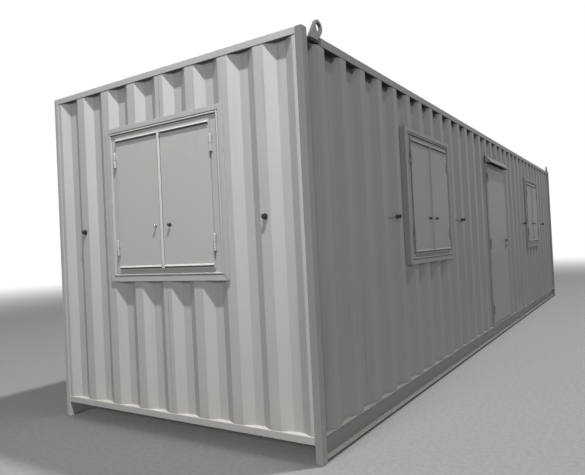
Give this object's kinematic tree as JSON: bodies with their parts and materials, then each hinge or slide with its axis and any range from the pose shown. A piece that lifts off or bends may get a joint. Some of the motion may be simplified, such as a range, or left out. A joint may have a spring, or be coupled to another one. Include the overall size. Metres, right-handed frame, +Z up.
{
  "type": "site cabin",
  "caption": "Long steel site cabin on corner posts, with corrugated walls, shuttered windows that open, a hinged front door under a rain hood, and lifting eyes.",
  "frame": {"origin": "on the ground, under the middle of the box that holds the cabin and its fittings", "axes": "+X along the cabin away from the end that has a window, +Z up, the front wall with the door faces -Y"},
  "size_m": [9.55, 2.503, 2.681],
  "materials": {
    "light_grey_paint": "satin",
    "black_rubber": "matte",
    "black_metal": "satin",
    "bare_steel": "bare knob whose black coat has worn off",
    "dark_underframe": "matte",
    "galvanised_roof": "satin",
    "white_board": "matte",
    "white_frame": "satin",
    "grey_flooring": "vinyl covered board",
    "pane": "clear"
  },
  "bodies": {
    "cabin": {"back_wall_lining": "white_board", "back_wall_sheet": "light_grey_paint", "base_end_rails": "light_grey_paint", "base_side_rails": "light_grey_paint", "ceiling": "white_board", "corner_post_back_left": "light_grey_paint", "corner_post_back_right": "light_grey_paint", "corner_post_front_left": "light_grey_paint", "corner_post_front_right": "light_grey_paint", "door_frame": "light_grey_paint", "door_hinge_pins": "light_grey_paint", "door_hood": "light_grey_paint", "end_window_frame": "light_grey_paint", "floor_deck": "grey_flooring", "floor_joists": "dark_underframe", "front_wall_lining": "white_board", "front_wall_sheet": "light_grey_paint", "left_wall_lining": "white_board", "left_wall_sheet": "light_grey_paint", "left_window_frame": "light_grey_paint", "lifting_eyes": "light_grey_paint", "right_wall_lining": "white_board", "right_wall_sheet": "light_grey_paint", "right_window_frame": "light_grey_paint", "roof_sheet": "galvanised_roof", "shutter_catches": "black_rubber", "shutter_hinge_pins": "light_grey_paint", "top_end_rails": "light_grey_paint", "top_side_rails": "light_grey_paint", "window_glass": "pane", "window_sashes": "white_frame"},
    "front_door": {"door_leaf": "light_grey_paint", "door_handle": "black_metal"},
    "end_window_left_shutter_leaf": {"end_window_left_shutter": "light_grey_paint", "end_window_left_knob": "bare_steel"},
    "end_window_right_shutter_leaf": {"end_window_right_shutter": "light_grey_paint", "end_window_right_knob": "black_rubber"},
    "left_window_left_shutter_leaf": {"left_window_left_shutter": "light_grey_paint", "left_window_left_knob": "black_rubber"},
    "left_window_right_shutter_leaf": {"left_window_right_shutter": "light_grey_paint", "left_window_right_knob": "black_rubber"},
    "right_window_left_shutter_leaf": {"right_window_left_shutter": "light_grey_paint", "right_window_left_knob": "black_rubber"},
    "right_window_right_shutter_leaf": {"right_window_right_shutter": "light_grey_paint", "right_window_right_knob": "black_rubber"}
  },
  "joints": [
    {"name": "front_door_hinge", "type": "hinge", "parent": "cabin", "child": "front_door", "pos_m": [-0.5015, -1.2005, 1.195], "axis": [0, 0, -1], "range_deg": [0, 170]},
    {"name": "end_window_left_shutter_hinge", "type": "hinge", "parent": "cabin", "child": "end_window_left_shutter_leaf", "pos_m": [-4.758, 0.50345, 1.663], "axis": [0, 0, -1], "range_deg": [0, 170]},
    {"name": "end_window_right_shutter_hinge", "type": "hinge", "parent": "cabin", "child": "end_window_right_shutter_leaf", "pos_m": [-4.758, -0.45055, 1.663], "axis": [0, 0, 1], "range_deg": [0, 170]},
    {"name": "left_window_left_shutter_hinge", "type": "hinge", "parent": "cabin", "child": "left_window_left_shutter_leaf", "pos_m": [-3.118, -1.2045, 1.663], "axis": [0, 0, -1], "range_deg": [0, 170]},
    {"name": "left_window_right_shutter_hinge", "type": "hinge", "parent": "cabin", "child": "left_window_right_shutter_leaf", "pos_m": [-2.164, -1.2045, 1.663], "axis": [0, 0, 1], "range_deg": [0, 170]},
    {"name": "right_window_left_shutter_hinge", "type": "hinge", "parent": "cabin", "child": "right_window_left_shutter_leaf", "pos_m": [2.084, -1.2045, 1.663], "axis": [0, 0, -1], "range_deg": [0, 170]},
    {"name": "right_window_right_shutter_hinge", "type": "hinge", "parent": "cabin", "child": "right_window_right_shutter_leaf", "pos_m": [3.038, -1.2045, 1.663], "axis": [0, 0, 1], "range_deg": [0, 170]}
  ]
}
